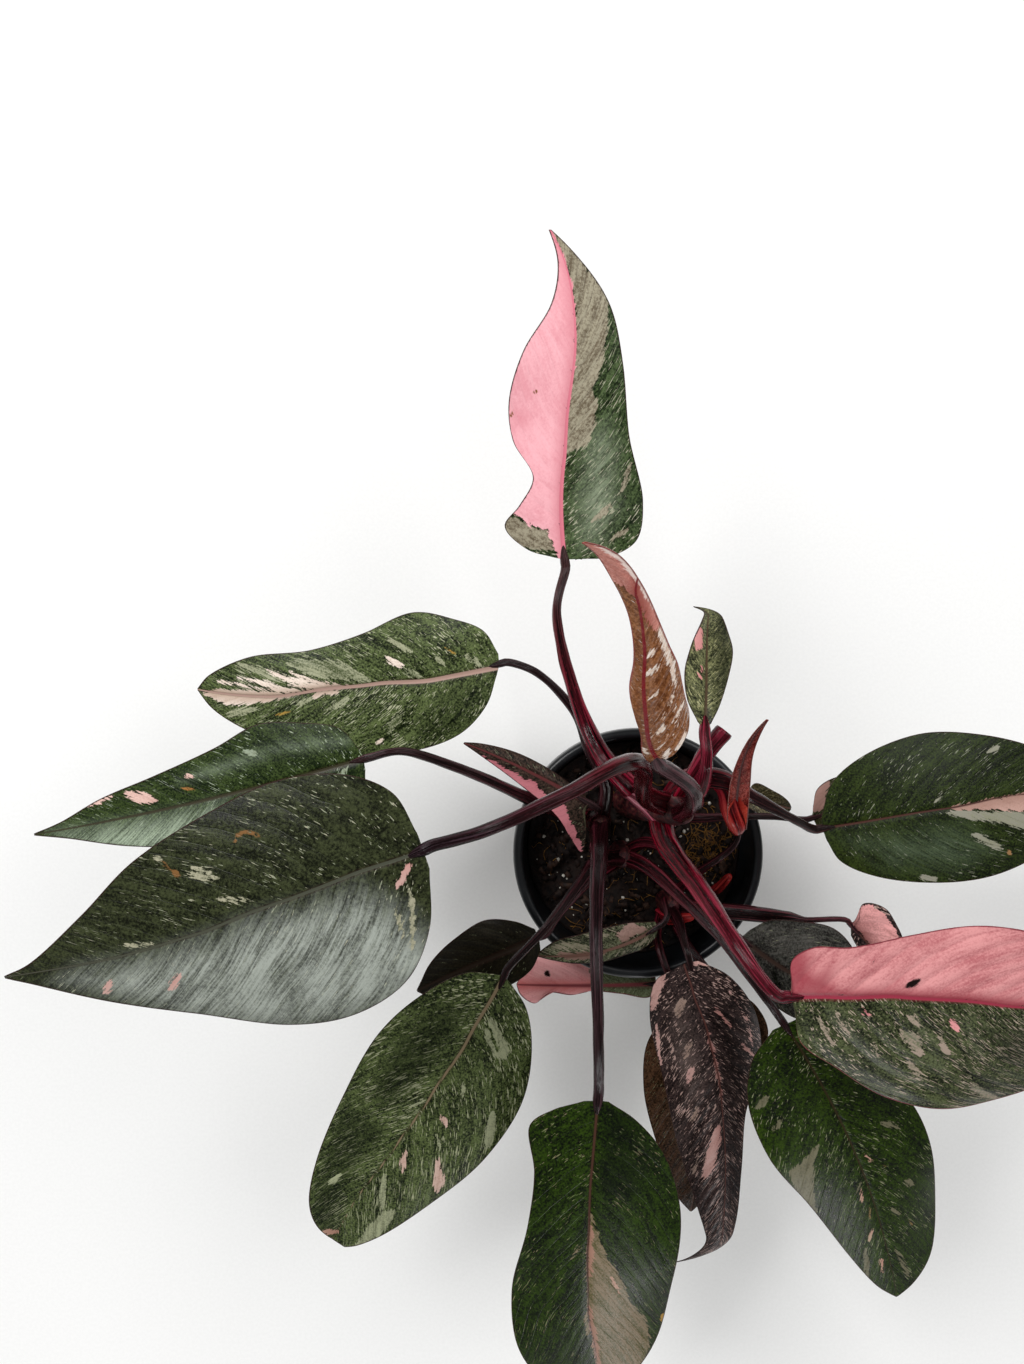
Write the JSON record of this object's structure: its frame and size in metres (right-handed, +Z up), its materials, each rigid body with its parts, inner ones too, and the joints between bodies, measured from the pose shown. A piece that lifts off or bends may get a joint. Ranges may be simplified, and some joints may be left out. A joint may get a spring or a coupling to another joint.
{
  "type": "potted pink princess philodendron",
  "caption": "Variegated philodendron with long-stalked heart-shaped leaves, dark green splashed and half covered with pink, in a round black nursery pot.",
  "frame": {"origin": "middle of the pot's flat base", "axes": "+Z up through the pot, +Y toward the leaf that is half pink, +X toward the right as seen from above"},
  "size_m": [0.4313, 0.4451, 0.2921],
  "materials": {
    "pot": "satin",
    "soil": "rough",
    "stem": "satin",
    "stalk": "satin",
    "stalk_young": "gloss",
    "leaf_green": "satin",
    "leaf_deep": "satin",
    "leaf_pale": "satin",
    "leaf_pink": "satin",
    "leaf_bronze": "satin",
    "leaf_purple": "satin",
    "leaf_olive": "satin",
    "bract": "satin"
  },
  "bodies": {
    "root": {"pot": "pot", "soil": "soil", "stem_main": "stem", "stem_left": "stem", "stem_middle": "stem", "stem_front": "stem", "stalk_half_pink": "stalk", "blade_half_pink": "leaf_pink", "stalk_upper_left": "stalk", "blade_upper_left": "leaf_green", "stalk_middle_left": "stalk", "blade_middle_left": "leaf_green", "stalk_large_left": "stalk", "blade_large_left": "leaf_deep", "stalk_tucked": "stalk", "blade_tucked": "leaf_deep", "stalk_small_dark": "stalk", "blade_small_dark": "leaf_deep", "stalk_lower_left": "stalk", "blade_lower_left": "leaf_green", "stalk_front": "stalk", "blade_front": "leaf_green", "stalk_bronze": "stalk", "blade_bronze": "leaf_purple", "stalk_under_bronze": "stalk", "blade_under_bronze": "leaf_olive", "stalk_rim_striped": "stalk", "blade_rim_striped": "leaf_pale", "stalk_rim_pink": "stalk", "blade_rim_pink": "leaf_pink", "stalk_right_pink": "stalk", "blade_right_pink": "leaf_pink", "stalk_lower_right": "stalk", "blade_lower_right": "leaf_green", "stalk_right": "stalk", "blade_right": "leaf_green", "stalk_right_under": "stalk", "blade_right_under": "leaf_pale", "stalk_dark_right": "stalk", "blade_dark_right": "leaf_deep", "stalk_curled_right": "stalk_young", "blade_curled_right": "leaf_bronze", "stalk_olive_small": "stalk", "blade_olive_small": "leaf_olive", "stalk_back_small": "stalk_young", "blade_back_small": "leaf_bronze", "stalk_unfurling": "stalk_young", "blade_unfurling": "leaf_bronze", "cataphyll": "bract"}
  },
  "joints": []
}
